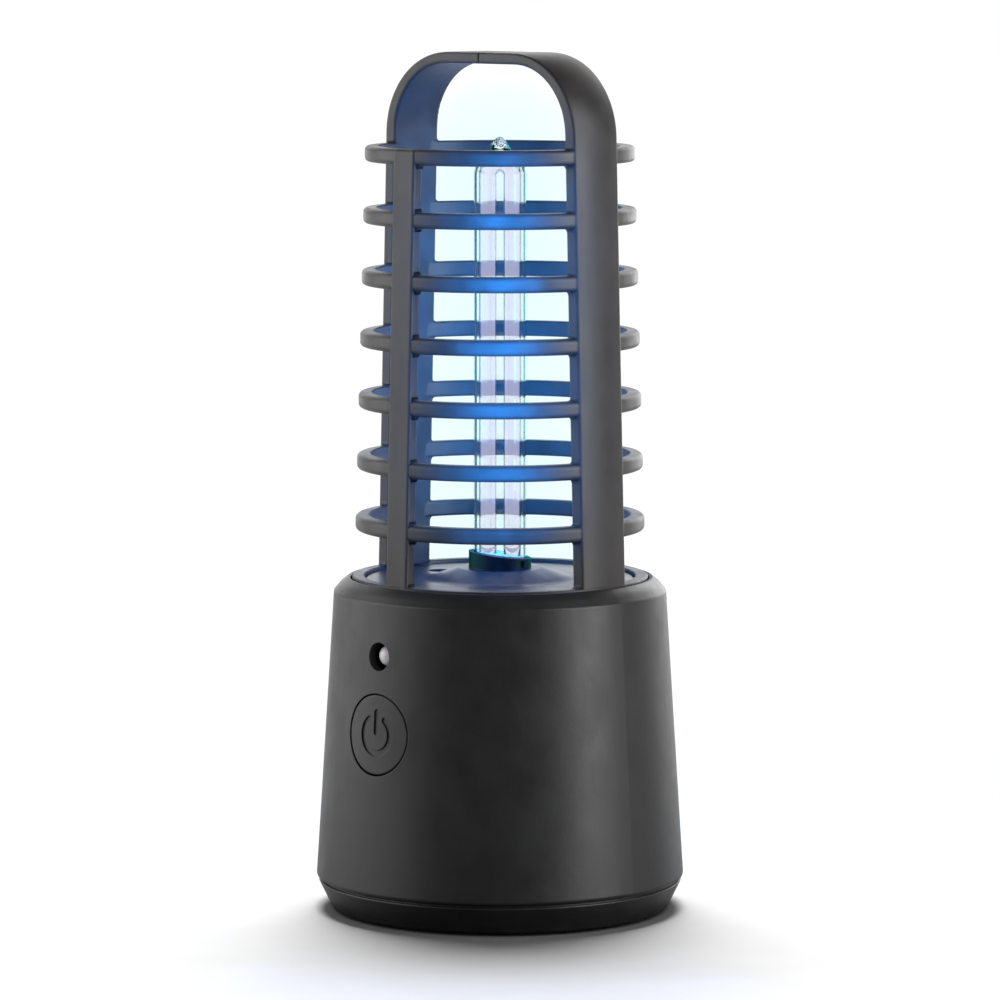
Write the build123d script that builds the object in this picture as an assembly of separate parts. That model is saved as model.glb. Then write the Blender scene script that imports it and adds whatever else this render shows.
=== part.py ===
from build123d import *
import math
import os

# Rechargeable insect lamp: a tapered base holds the battery and electronics, and a ringed guard
# with a handle arch stands over an upright twin-tube lamp.
# Millimetres, +Z up. The origin is on the floor, on the lamp's upright axis.
# The power button faces -Y, the charging socket +Y, and the handle arch spans X.

# ---- base casing --------------------------------------------------------------------------------
BASE_R = 42.5                  # widest radius, at the foot of the base shell
SHELL_FOOT = 7.35              # underside of the shell, on the bottom cover
CREASE_R = 38.3                # shell radius where the taper meets the sloping shoulder
CREASE_Z = 73.9
SHOULDER_R = 36.7              # where the shoulder turns over into the rim
SHOULDER_Z = 75.85
MOUTH_R = 34.4                 # opening in the top of the shell that the guard drops into
SHELL_TOP = 77.5
WALL = 2.2
CEILING_TOP = 72.3             # inner floor of the shell under the deck
CEILING = 1.7
CEILING_HOLE_R = 12.0
SEAM = 0.35                    # shadow gap between cover and shell
COVER_FOOT_R = 39.0
COVER_TOP_R = 42.1
COVER_LEDGE_R = 41.3           # the shell rests on this step inside the seam
SPIGOT_HIGH = 3.0
FOOT_PROUD = 0.6               # how far the rubber feet stand below the cover
FOOT_R = 5.0
FOOT_THICK = 1.6
FOOT_CIRCLE = 31.0
foot_angles = (90, 210, 330)

# ---- guard --------------------------------------------------------------------------------------
HEIGHT = 197.4                 # floor to the top of the handle
RINGS = 7
TOP_RING_Z = 174.38
RING_PITCH = 14.107
TOP_RING_R = 30.92
RING_GROWTH = 0.392            # each ring is this much larger than the one above
RING_HIGH = 3.6
RING_WIDE = 3.3
RING_ROUND = 1.0               # outer edge of a ring
INNER_ROUND = 0.4              # inner edge of a ring
STRAP_HALF = 7.0
STRAP_THICK = 3.9              # at its middle, because the outer face is crowned
STRAP_PROUD = 0.2              # straps and post corners stand this far outside the rings
STRAP_FOOT = 77.0
HANDLE_THICK = 2.53            # flat top of the handle
HANDLE_CORNER = 19.2
HANDLE_BEND = 16.0             # inside the handle's corner
JOINT_BEVEL = 0.2              # groove around the handle where the two halves meet
POST_HALF = 3.33
POST_THICK = 2.7
WINDOW_ROUND = 0.8             # concave corner where a ring meets a strap or post
EDGE_ROUND = 0.5
GUARD_RING_OUT = 34.1
GUARD_RING_IN = 31.25
GUARD_RING_TOP = 77.4
GUARD_RING_FOOT = 73.9
PEG_R = 0.65
PEG_LONG = 1.8
PEG_Y = 3.5
TONGUE_IN = 32.0               # snap tongues below the guard's base ring
TONGUE_OUT = 33.2
TONGUE_FOOT = 69.0
TONGUE_HALF_ANGLE = 6.0
TONGUE_BUMP = 0.35
SLOT_HALF_ANGLE = 7.5          # slots in deck and ceiling that the tongues pass through
tongue_angles = (45, 135, 225, 315)

# ---- deck and lamp ------------------------------------------------------------------------------
DECK_TOP = 76.6
DECK_R = 30.95
DECK_THICK = 1.6
CHANNEL_TOP = 73.8             # floor of the groove that the guard's base ring stands in
BOSS_FOOT_R = 16.0
BOSS_TOP_R = 9.7
BOSS_TOP = 79.1
BOSS_LIP = 1.4
BOSS_FLARE = 8.0               # concave sweep from the deck into the boss
DECK_SCREW_R = 19.6            # distance of the deck screw from the axis
DECK_HEAD_HOLE = 2.75
LAMP_R = 6.025
GLASS = 0.6
LAMP_FOOT = 67.0
LAMP_DOME = 169.3              # centre of the domed end
TIP_R = 2.5
TIP_TOP = 178.2
TUBE_R = 2.1
TUBE_OFFSET = 2.8
TUBE_FOOT = 76.0
TUBE_BEND = 169.4
TUBE_TURN = 44.5               # the twin tubes lie in a plane at this angle to X
LEAD_R = 0.3
LEAD_FOOT = 64.5
SLEEVE_R = 7.2
SLEEVE_FOOT = 75.2
SLEEVE_MID = 82.1              # height of the sleeve's slanted rim at the axis
SLEEVE_SLANT = 7.1
CEMENT_MID = 82.3
HOLDER_R = 8.4
HOLDER_LOW = 60.5
HOLDER_HIGH = 75.1
HOLDER_EAR = 13.0              # distance of the holder's screws from the axis
EAR_HALF = 4.0
EAR_THICK = 1.5
EAR_BOSS_R = 2.6
EAR_BOSS_TOP = 74.7

# ---- button, switch and indicator ---------------------------------------------------------------
BUTTON_Z = 44.3
BUTTON_R = 9.05
BUTTON_GAP = 0.3
BUTTON_SUNK = 0.1
BUTTON_BACK = -36.0            # inner face of the button's cap
FLANGE_R = 10.2
FLANGE_THICK = 1.0
STEM_R = 2.4
TRAVEL_ROOM = 0.1              # rest gap between button stem and switch plunger
LED_Z = 62.0
LED_HOLE_R = 3.2
LED_R = 2.5
LED_COLLAR_R = 2.9
LED_LONG = 6.1
LED_PITCH = 2.54
LED_LEG_R = 0.3
SYMBOL_R = 4.2
SYMBOL_LINE = 1.4
SYMBOL_BAR = 5.8
SYMBOL_DEPTH = 0.35
SYMBOL_GAP = 35.0              # half angle of the gap at the top of the symbol's ring
BOARD = 1.6
SWITCH_BOARD_Y = -27.7
SWITCH_BOARD_HALF = 8.0
SWITCH_BOARD_LOW = 27.5
SWITCH_BOARD_HIGH = 67.5
SWITCH_HALF = 3.0
SWITCH_DEEP = 3.5
PLUNGER_R = 1.7
PLUNGER_OUT = 1.1
PLUNGER_IN = 0.7
switch_board_screws_at = ((-5.0, 31.0), (5.0, 57.5))

# ---- battery and boards -------------------------------------------------------------------------
CELL_R = 9.15
CELL_LONG = 65.0
CELL_FOOT = 4.2
CELL_BUTTON_R = 3.2
CELL_BUTTON = 1.2
CELL_AT = (22.0, 3.0)
HOLDER_FOOT = 2.85
HOLDER_TOP = 70.45
HOLDER_WALL = 1.5
HOLDER_END = 0.9
CONTACT_TAB = 10.8             # reach of a contact's tab from the cell's axis
CONTACT_HALF = 3.5
CONTACT_THICK = 0.3
DRIVER_X = -10.0
DRIVER_HALF = 20.0
DRIVER_LOW = 5.0
DRIVER_HIGH = 57.0
driver_holes = ((-17, 54), (17, 54))
TRANSFORMER_AT = (-6.5, 6.0, 38.0)   # from the board's face
COIL_R = 6.0
COIL_LONG = 12.0
BOBBIN_R = 6.4
BOBBIN_FLANGE = 0.9
CAN_R = 4.0
CAN_LONG = 12.0
cans_at = ((-12, 20), (-2, 20))
TRANSISTOR_Y = -12.0
TRANSISTOR_Z = 32.0
TRANSISTOR_HALF = 5.0
TRANSISTOR_TALL = 9.5
TAB_TALL = 16.0
LEG_PITCH = 2.5
SOCKET_DEEP = 5.0
SOCKET_HALF = 3.7
SOCKET_RISE = 2.2
socket_places = {"lamp": (0, 50), "battery": (8, 24), "switch": (-14, 40), "charge": (14, 14)}
GUIDE_TOP = 13.0               # slotted guides in the cover that hold the driver board
CHARGE_LOW = 13.6
CHARGE_BOARD = 1.2
CHARGE_HALF = 8.0
CHARGE_FRONT = 21.5
CHARGE_BACK = 37.5
CHARGE_SCREW_X = 6.0
CHARGE_SCREW_Y = 25.0
USB_Z = 16.15
USB_HALF = 3.8
USB_HIGH = 2.7
USB_WALL = 0.3
USB_FRONT = 33.2
USB_BACK = 38.8
USB_SLOT_HALF = 4.5
USB_SLOT_RISE = 2.1

# ---- fasteners and wire -------------------------------------------------------------------------
SCREW_R = 1.3
SCREW_HEAD_R = 2.4
SCREW_HEAD_HIGH = 1.5
SMALL_SCREW_R = 0.95
SMALL_HEAD_R = 1.8
SMALL_HEAD_HIGH = 1.2
SLIP = 0.12                    # clearance of a screw that passes through
FIT = 0.05                     # slack between a screw and its thread, and around set-in pieces
SCREW_CIRCLE = 34.0
COVER_SCREW_SEAT = 3.2
COVER_SCREW_LONG = 15.0
PILLAR_R = 3.2
PILLAR_TOP = 21.0
cover_screw_angles = (30, 150, 270)
RUN_R = 0.65                   # insulated wire
PAST = 1.0                     # how far a cutter runs past the face it opens
FAR = 60.0                     # further than any piece reaches sideways

taper = (BASE_R - CREASE_R) / (CREASE_Z - SHELL_FOOT)
lean = RING_GROWTH / RING_PITCH
spin = (math.cos(math.radians(TUBE_TURN)), math.sin(math.radians(TUBE_TURN)))
ceiling_under = CEILING_TOP - CEILING
cover_floor = FOOT_PROUD + WALL
switch_face = SWITCH_BOARD_Y - BOARD
switch_front = switch_face - SWITCH_DEEP
plunger_tip = switch_front - PLUNGER_OUT
stem_end = plunger_tip - TRAVEL_ROOM
charge_top = CHARGE_LOW + CHARGE_BOARD
wire_end_x = DRIVER_X + BOARD + SOCKET_DEEP


# ---- shared helpers -----------------------------------------------------------------------------
def outline(points):
    """Closed flat face from (a, b) or (a, b, corner radius) points."""
    face = make_face(Polyline(*[(p[0], p[1]) for p in points], close=True))
    for p in points:
        if len(p) == 3:
            corner = face.vertices().sort_by_distance((p[0], p[1], 0))[0]
            face = fillet(corner, p[2])
    return face


def turned(points):
    """Solid turned about the upright axis from (radius, height) points."""
    return revolve(Plane.XZ * outline(points), Axis.Z)


def rod(radius, low, high, x=0.0, y=0.0):
    """Upright cylinder between two heights."""
    return Pos(x, y, (low + high) / 2) * Cylinder(radius, high - low)


def rod_y(radius, y_from, y_to, x=0.0, z=0.0):
    """Cylinder lying along Y."""
    return Pos(x, (y_from + y_to) / 2, z) * Rot(90, 0, 0) * Cylinder(radius, abs(y_to - y_from))


def rod_x(radius, x_from, x_to, y=0.0, z=0.0):
    """Cylinder lying along X."""
    return Pos((x_from + x_to) / 2, y, z) * Rot(0, 90, 0) * Cylinder(radius, abs(x_to - x_from))


def block(x, y, z):
    """Box from its low and high value on each axis."""
    size = [high - low for low, high in (x, y, z)]
    middle = [(high + low) / 2 for low, high in (x, y, z)]
    return Pos(*middle) * Box(*size)


def around(radius, angles):
    """Plan positions on a circle."""
    return [(radius * math.cos(math.radians(a)), radius * math.sin(math.radians(a))) for a in angles]


def tube_feet():
    """Plan positions of the two straight runs of the lamp's tube."""
    return [(side * TUBE_OFFSET * spin[0], side * TUBE_OFFSET * spin[1]) for side in (-1, 1)]


def shell_radius(z):
    """Outside radius of the tapered wall at a height."""
    return BASE_R - taper * (z - SHELL_FOOT)


def ring_radius(z):
    """Outside radius of the guard's rings at a height."""
    return TOP_RING_R + lean * (TOP_RING_Z - z)


def ring_sector(r_in, r_out, low, high, middle_angle, half_angle):
    """Upright piece of a tube wall, between two radii and two angles."""
    tube = rod(r_out, low, high) - rod(r_in, low - PAST, high + PAST)
    far = 2 * r_out
    spread = far * math.tan(math.radians(half_angle))
    wedge = extrude(make_face(Polyline((0, 0), (far, -spread), (far, spread), close=True)), high + PAST)
    return tube & (Rot(0, 0, middle_angle) * wedge)


def screw(radius, length, head_r, head_high):
    """Pan-head screw with its seat at the origin, head up and a cross recess."""
    head = rod(head_r, 0, head_high)
    head = fillet(head.edges().filter_by(GeomType.CIRCLE).sort_by(Axis.Z)[-1], 0.45 * head_high)
    shank = rod(radius, -length, 0)
    tip = shank.edges().filter_by(GeomType.CIRCLE).sort_by(Axis.Z)[0]
    body = head + chamfer(tip, 0.5 * radius)
    reach, half_width = 0.6 * head_r, 0.22 * head_r
    arm = block((-reach, reach), (-half_width, half_width), (0.45 * head_high, head_high + PAST))
    for turn in (0, 90):
        body -= Rot(0, 0, turn) * arm
    return body


def small_screw(length):
    return screw(SMALL_SCREW_R, length, SMALL_HEAD_R, SMALL_HEAD_HIGH)


def wire(route, bend):
    """Insulated wire along straight runs joined by arcs."""
    path = FilletPolyline(*route, radius=bend)
    return sweep(path.location_at(0) * Circle(RUN_R), path=path)


# ---- base casing --------------------------------------------------------------------------------
def base_shell():
    wall_foot = shell_radius(SHELL_FOOT) - WALL
    wall_top = shell_radius(ceiling_under) - WALL
    shell = turned([
        (wall_foot, SHELL_FOOT),
        (BASE_R, SHELL_FOOT, 1.0),
        (CREASE_R, CREASE_Z, 0.6),
        (SHOULDER_R, SHOULDER_Z, 5.0),
        (MOUTH_R, SHELL_TOP, 0.5),
        (MOUTH_R, CEILING_TOP),
        (CEILING_HOLE_R, CEILING_TOP),
        (CEILING_HOLE_R, ceiling_under),
        (wall_top, ceiling_under, 1.0),
    ])
    skin = 0.8
    inside = turned([
        (0, SHELL_FOOT),
        (BASE_R - skin, SHELL_FOOT),
        (CREASE_R - skin, CREASE_Z),
        (0, CREASE_Z),
    ])
    bosses = cover_screw_bosses() + switch_board_bosses() + deck_screw_boss() + lamp_holder_bosses()
    shell += bosses & inside
    front = -BASE_R - PAST
    shell -= rod_y(BUTTON_R + BUTTON_GAP, front, -30, 0, BUTTON_Z)
    shell -= rod_y(LED_HOLE_R, front, -30, 0, LED_Z)
    shell -= usb_window()
    for x, y in around(SCREW_CIRCLE, cover_screw_angles):
        shell -= rod(SCREW_R + FIT, SHELL_FOOT - PAST, PILLAR_TOP - 2, x, y)
    for x, z in switch_board_screws_at:
        shell -= rod_y(SMALL_SCREW_R + FIT, SWITCH_BOARD_Y - 6.6, -20, x, z)
    shell -= rod(SCREW_R + FIT, 64.6, CEILING_TOP + PAST, -DECK_SCREW_R, 0)
    for side in (-1, 1):
        shell -= rod(SMALL_SCREW_R + FIT, 68, EAR_BOSS_TOP - 0.5, 0, side * HOLDER_EAR)
    return shell - tongue_slots(60, CEILING_TOP + 0.5)


def tongue_slots(low, high):
    """Cutters for the four slots that the guard's snap tongues pass through."""
    slots = Part()
    for angle in tongue_angles:
        slots += ring_sector(TONGUE_IN - 0.4, TONGUE_OUT + 0.65, low, high, angle, SLOT_HALF_ANGLE)
    return slots


def cover_screw_bosses():
    """Three pillars inside the foot of the wall that take the cover screws."""
    pillars = Part()
    for angle in cover_screw_angles:
        pillar = rod(PILLAR_R, SHELL_FOOT, PILLAR_TOP, SCREW_CIRCLE, 0)
        web = block((SCREW_CIRCLE, BASE_R - 1), (-1.0, 1.0), (SHELL_FOOT + SPIGOT_HIGH + 0.2, PILLAR_TOP))
        pillars += Rot(0, 0, angle) * (pillar + web)
    return pillars


def switch_board_bosses():
    """Two short pillars behind the front wall that carry the switch board."""
    pillars = Part()
    for x, z in switch_board_screws_at:
        pillars += rod_y(2.25, -BASE_R + 1, switch_face, x, z)
    return pillars


def deck_screw_boss():
    return rod(3.1, 64, CEILING_TOP - 0.1, -DECK_SCREW_R, 0)


def lamp_holder_bosses():
    """Stubs on top of the ceiling for the two lamp holder screws."""
    stubs = Part()
    for side in (-1, 1):
        stubs += rod(EAR_BOSS_R, ceiling_under, EAR_BOSS_TOP, 0, side * HOLDER_EAR)
    return stubs


def usb_window():
    """Rounded slot through the back wall, with a shallow flare for the plug's grip."""
    behind = BASE_R + 3.5
    half, rise = USB_SLOT_HALF, USB_SLOT_RISE
    slot = block((-half, half), (USB_FRONT + 2.8, behind), (USB_Z - rise, USB_Z + rise))
    slot = fillet(slot.edges().filter_by(Axis.Y), 1.4)
    half, rise = half + 1.5, rise + 1.4
    flare = block((-half, half), (shell_radius(USB_Z) - 0.7, behind), (USB_Z - rise, USB_Z + rise))
    return slot + fillet(flare.edges().filter_by(Axis.Y), 2)


def bottom_cover():
    spigot = shell_radius(SHELL_FOOT) - WALL - 0.15
    spigot_top = SHELL_FOOT + SPIGOT_HIGH
    cover = turned([
        (0, FOOT_PROUD),
        (COVER_FOOT_R, FOOT_PROUD, 0.8),
        (COVER_TOP_R, SHELL_FOOT - SEAM, 0.3),
        (COVER_LEDGE_R, SHELL_FOOT - SEAM),
        (COVER_LEDGE_R, SHELL_FOOT),
        (spigot, SHELL_FOOT),
        (spigot - 0.15, spigot_top, 0.4),
        (spigot - 1.6, spigot_top),
        (spigot - 2.6, cover_floor, 1.0),
        (0, cover_floor),
    ])
    for angle, (x, y) in zip(cover_screw_angles, around(SCREW_CIRCLE, cover_screw_angles)):
        cover += rod(3.9, cover_floor - 0.1, SHELL_FOOT, x, y)
        cover -= rod(PILLAR_R + 0.2, SHELL_FOOT, spigot_top + PAST, x, y)
        cover -= rod(SCREW_R + SLIP, 0, SHELL_FOOT + PAST, x, y)
        cover -= rod(SCREW_HEAD_R + 0.3, 0, COVER_SCREW_SEAT, x, y)
        notch = block((SCREW_CIRCLE, BASE_R), (-1.3, 1.3), (spigot_top, spigot_top + 6))
        cover -= Rot(0, 0, angle) * notch
    for x, y in around(FOOT_CIRCLE, foot_angles):
        cover -= rod(FOOT_R + FIT, 0, FOOT_THICK, x, y)
    cover += driver_board_guides()
    for side in (-1, 1):
        x = side * CHARGE_SCREW_X
        cover += rod(2.2, cover_floor - 0.1, CHARGE_LOW, x, CHARGE_SCREW_Y)
        cover -= rod(SMALL_SCREW_R + FIT, 7.4, CHARGE_LOW + PAST, x, CHARGE_SCREW_Y)
    return cover


def driver_board_guides():
    """Two slotted posts that the driver board's lower corners slide into."""
    guide = block((DRIVER_X - 1.2, DRIVER_X + 2.8), (19.4, 23.2), (cover_floor - 0.1, GUIDE_TOP))
    board_room = (DRIVER_X - FIT, DRIVER_X + BOARD + FIT)
    guide -= block(board_room, (19, DRIVER_HALF + 0.2), (DRIVER_LOW, GUIDE_TOP + PAST))
    return guide + mirror(guide, Plane.XZ)


def rubber_feet():
    pads = Part()
    for x, y in around(FOOT_CIRCLE, foot_angles):
        pad = rod(FOOT_R, 0, FOOT_THICK, x, y)
        pads += fillet(pad.edges().filter_by(GeomType.CIRCLE).sort_by(Axis.Z)[0], 0.4)
    return pads


def cover_screws():
    group = Part()
    for x, y in around(SCREW_CIRCLE, cover_screw_angles):
        pan_head = screw(SCREW_R, COVER_SCREW_LONG, SCREW_HEAD_R, SCREW_HEAD_HIGH)
        group += Pos(x, y, COVER_SCREW_SEAT) * Rot(180, 0, 0) * pan_head
    return group


# ---- deck and lamp ------------------------------------------------------------------------------
def deck_plate():
    """Round plate over the ceiling, with a boss for the lamp and a groove for the guard."""
    under = DECK_TOP - DECK_THICK
    rim = MOUTH_R - 0.15
    skirt = DECK_R - 1.5
    plate = turned([
        (rim, CEILING_TOP),
        (rim, CHANNEL_TOP),
        (DECK_R, CHANNEL_TOP),
        (DECK_R, DECK_TOP, 0.4),
        (BOSS_FOOT_R + 1.0, DECK_TOP, BOSS_FLARE),
        (BOSS_TOP_R, BOSS_TOP, 0.25),
        (SLEEVE_R + FIT, BOSS_TOP),
        (SLEEVE_R + FIT, BOSS_TOP - BOSS_LIP),
        (BOSS_TOP_R, BOSS_TOP - BOSS_LIP),
        (BOSS_FOOT_R, under),
        (skirt, under),
        (skirt, CEILING_TOP),
    ])
    plate += rod(4.3, CEILING_TOP, under + 0.1, -DECK_SCREW_R, 0)
    plate -= rod(DECK_HEAD_HOLE, CHANNEL_TOP, DECK_TOP + PAST, -DECK_SCREW_R, 0)
    plate -= rod(SCREW_R + SLIP, 70, 75, -DECK_SCREW_R, 0)
    return plate - tongue_slots(70, CHANNEL_TOP + 0.5)


def deck_screw():
    return Pos(-DECK_SCREW_R, 0, CHANNEL_TOP) * screw(SCREW_R, 8.5, SCREW_HEAD_R - 0.1, SCREW_HEAD_HIGH)


def lamp_holder():
    """Cup under the deck that grips the foot of the lamp, with two ears for its screws."""
    floor_top = HOLDER_LOW + 1.5
    cup = rod(HOLDER_R, HOLDER_LOW, HOLDER_HIGH) - rod(LAMP_R + 0.15, floor_top, HOLDER_HIGH + PAST)
    reach = HOLDER_EAR + 3
    ears = block((-EAR_HALF, EAR_HALF), (-reach, reach), (ceiling_under - EAR_THICK, ceiling_under))
    ears = fillet(ears.edges().filter_by(Axis.Z), 3)
    cup += ears - rod(HOLDER_R - 0.4, HOLDER_LOW, HOLDER_HIGH)
    for side in (-1, 1):
        cup -= rod(SMALL_SCREW_R + SLIP, HOLDER_LOW, HOLDER_HIGH, 0, side * HOLDER_EAR)
    for x, y in tube_feet():
        cup -= rod(RUN_R + FIT, HOLDER_LOW - PAST, floor_top + PAST, x, y)
    return cup


def lamp_holder_screws():
    group = Part()
    for side in (-1, 1):
        group += Pos(0, side * HOLDER_EAR, ceiling_under - EAR_THICK) * Rot(180, 0, 0) * small_screw(4.8)
    return group


def slanted(low, radius, middle):
    """Cylinder whose top is a slanted plane, low towards the tubes' direction."""
    above = Rot(0, 0, TUBE_TURN) * Rot(0, SLEEVE_SLANT, 0) * Pos(0, 0, 10) * Box(40, 40, 20)
    return rod(radius, low, middle + 4) - Pos(0, 0, middle) * above


def lamp_sleeve():
    """Soft collar round the foot of the glass, with a slanted rim and one slit."""
    sleeve = slanted(SLEEVE_FOOT, SLEEVE_R, SLEEVE_MID) - rod(LAMP_R + 0.08, SLEEVE_FOOT - PAST, 90)
    return sleeve - block((LAMP_R - 1, SLEEVE_R + PAST), (-0.55, 0.55), (79.3, 81.0))


def lamp_cement():
    """Cement plug that seals the tubes' feet into the glass."""
    plug = slanted(LAMP_FOOT, LAMP_R - GLASS - 0.03, CEMENT_MID)
    for x, y in tube_feet():
        plug -= rod(TUBE_R + 0.03, TUBE_FOOT, 90, x, y)
        plug -= rod(LEAD_R + 0.03, LEAD_FOOT, TUBE_FOOT, x, y)
    return plug


def lamp_envelope():
    """Clear glass jacket, domed at the top and drawn to a sealed tip."""
    dome = LAMP_DOME + LAMP_R
    outer = rod(LAMP_R, LAMP_FOOT, LAMP_DOME) + Pos(0, 0, LAMP_DOME) * Sphere(LAMP_R)
    tip = turned([
        (0, dome - 1.5),
        (TIP_R, dome - 1.5),
        (TIP_R - 0.1, dome + 0.2, 0.8),
        (0.5 * TIP_R, TIP_TOP, 0.9),
        (0, TIP_TOP),
    ])
    bore = LAMP_R - GLASS
    inner = rod(bore, LAMP_FOOT - PAST, LAMP_DOME) + Pos(0, 0, LAMP_DOME) * Sphere(bore)
    return outer + tip - inner


def lamp_tube():
    """Lit discharge tube bent into a narrow upright U."""
    a = TUBE_OFFSET
    up = Line((a, 0, TUBE_FOOT), (a, 0, TUBE_BEND))
    over = ThreePointArc((a, 0, TUBE_BEND), (0, 0, TUBE_BEND + a), (-a, 0, TUBE_BEND))
    down = Line((-a, 0, TUBE_BEND), (-a, 0, TUBE_FOOT))
    tube = sweep(Pos(a, 0, TUBE_FOOT) * Circle(TUBE_R), path=Wire([up, over, down]))
    return Rot(0, 0, TUBE_TURN) * tube


def lamp_leads():
    """Two bare wires from the feet of the tube down through the cement."""
    pair = Part()
    for x, y in tube_feet():
        pair += rod(LEAD_R, LEAD_FOOT, TUBE_FOOT, x, y)
    return pair


# ---- guard: two identical halves ----------------------------------------------------------------
def strap_radius(z):
    """Radius of the turned surface that the strap's outer face lies on, at a height."""
    return ring_radius(z) + STRAP_PROUD


def post_y(z):
    """How far out the post's flat outer face is at a height."""
    top = math.sqrt((TOP_RING_R + STRAP_PROUD) ** 2 - POST_HALF ** 2)
    return top + lean * (TOP_RING_Z - z)


def guard_ring(z):
    r = ring_radius(z)
    low, high = z - RING_HIGH / 2, z + RING_HIGH / 2
    return turned([
        (r - RING_WIDE, low, INNER_ROUND),
        (r, low, RING_ROUND),
        (r, high, RING_ROUND),
        (r - RING_WIDE, high, INNER_ROUND),
    ])


def base_ring():
    """Ring at the guard's foot that stands in the deck's groove."""
    return turned([
        (GUARD_RING_IN, GUARD_RING_FOOT),
        (GUARD_RING_OUT, GUARD_RING_FOOT),
        (GUARD_RING_OUT, GUARD_RING_TOP, 0.3),
        (GUARD_RING_IN, GUARD_RING_TOP, 0.3),
    ])


def half_of_plan():
    """Space of one half: it takes in the whole +Y post and stops short of the -Y post."""
    with_post = block((-POST_HALF, FAR), (0, FAR), (0, HEIGHT))
    beside_post = block((POST_HALF, FAR), (-FAR, 0), (0, HEIGHT))
    return with_post + beside_post


def strap_and_arch():
    """Wide side strap that runs on over the top as half of the handle, crowned on the outside."""
    turned_shape = turned([
        (0, HEIGHT),
        (strap_radius(HEIGHT), HEIGHT, HANDLE_CORNER),
        (strap_radius(STRAP_FOOT), STRAP_FOOT),
        (0, STRAP_FOOT),
    ])
    under = HEIGHT - HANDLE_THICK
    below = STRAP_FOOT - PAST
    inside = outline([
        (-PAST, under),
        (strap_radius(under) - STRAP_THICK, under, HANDLE_BEND),
        (strap_radius(below) - STRAP_THICK, below),
        (-PAST, below),
    ])
    strap = turned_shape & block((0, FAR), (-STRAP_HALF, STRAP_HALF), (0, HEIGHT + PAST))
    strap -= extrude(Plane.XZ * inside, STRAP_HALF + PAST, both=True)
    side_edges = strap.edges().filter_by(lambda e: abs(abs(e.center().Y) - STRAP_HALF) < 0.01)
    long_edges = side_edges.filter_by(lambda e: e.center().X > 0.1 and e.center().Z > STRAP_FOOT + 0.1)
    strap = fillet(long_edges, EDGE_ROUND)
    joint_edges = strap.edges().filter_by(lambda e: abs(e.center().X) < 0.001)
    return chamfer(joint_edges, JOINT_BEVEL)


def post():
    """Narrow upright at +Y, from the base ring to the top ring."""
    high = TOP_RING_Z + RING_HIGH / 2
    profile = outline([
        (post_y(STRAP_FOOT), STRAP_FOOT),
        (post_y(high), high, RING_ROUND),
        (post_y(high) - POST_THICK, high, INNER_ROUND),
        (post_y(STRAP_FOOT) - POST_THICK, STRAP_FOOT),
    ])
    bar = extrude(Plane.YZ * profile, POST_HALF, both=True)
    long_edges = bar.edges().filter_by(lambda e: e.length > RING_PITCH)
    return fillet(long_edges.sort_by(Axis.Y)[-2:], EDGE_ROUND)


def corner_web(along_x, at, z, up):
    """Concave quarter fillet strip where a ring's flat meets a strap's or post's side."""
    c = WINDOW_ROUND
    square = make_face(Polyline((0, 0), (c, 0), (c, c), (0, c), close=True))
    corner = square - Pos(c, c) * Circle(c)
    corner = corner if up else mirror(corner, Plane.XZ)
    if along_x:
        return Pos(0, at, z) * extrude(Plane.YZ * corner, FAR)
    return Pos(at, 0, z) * extrude(Plane.XZ * corner, FAR, dir=(0, 1, 0))


def corner_webs():
    """All window corners of the quarter towards +X and +Y."""
    quarter = block((0, FAR), (0, FAR), (0, HEIGHT))
    levels = [(GUARD_RING_TOP, True, ring_radius(GUARD_RING_TOP) - 0.4)]
    for i in range(RINGS):
        z = TOP_RING_Z - i * RING_PITCH
        levels.append((z - RING_HIGH / 2, False, ring_radius(z) - 0.5))
        levels.append((z + RING_HIGH / 2, True, ring_radius(z) - 0.5))
    webs = Part()
    for z, up, reach in levels:
        low, high = (z - 0.001, z + 2) if up else (z - 2, z + 0.001)
        band = rod(reach, low, high) - rod(reach - 2.1, low - PAST, high + PAST)
        webs += corner_web(True, STRAP_HALF, z, up) & band & quarter
        if z < TOP_RING_Z + 1:
            webs += corner_web(False, POST_HALF, z, up) & band & quarter
    return webs


def snap_tongue(angle):
    """Springy tongue below the base ring, with a small retaining bump."""
    blade = ring_sector(TONGUE_IN, TONGUE_OUT, TONGUE_FOOT, GUARD_RING_FOOT + 0.1, angle, TONGUE_HALF_ANGLE)
    low = TONGUE_FOOT + 0.4
    bump = ring_sector(TONGUE_OUT - 0.1, TONGUE_OUT + TONGUE_BUMP, low, low + 1, angle, TONGUE_HALF_ANGLE - 1)
    return blade + bump


def guard_half():
    """Half of the guard towards +X, with the whole +Y post, one peg and one peg hole."""
    rings = Part()
    for i in range(RINGS):
        rings += guard_ring(TOP_RING_Z - i * RING_PITCH)
    half = rings & half_of_plan()
    half += base_ring() & half_of_plan()
    half += strap_and_arch()
    half += post()
    webs = corner_webs()
    half += webs
    half += mirror(webs, Plane.XZ)
    half += snap_tongue(45)
    half += snap_tongue(-45)
    arch_middle = HEIGHT - HANDLE_THICK / 2
    half += rod_x(PEG_R, -PEG_LONG, PEG_LONG, PEG_Y, arch_middle)
    return half - rod_x(PEG_R + FIT, -PAST, PEG_LONG + 0.2, -PEG_Y, arch_middle)


# ---- button, switch and indicator ---------------------------------------------------------------
def button_skin(depth):
    """Solid inside the tapered wall, its surface this far below the wall's."""
    low, high = BUTTON_Z - 12, BUTTON_Z + 12
    return turned([
        (0, low),
        (shell_radius(low) - depth, low),
        (shell_radius(high) - depth, high),
        (0, high),
    ])


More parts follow.
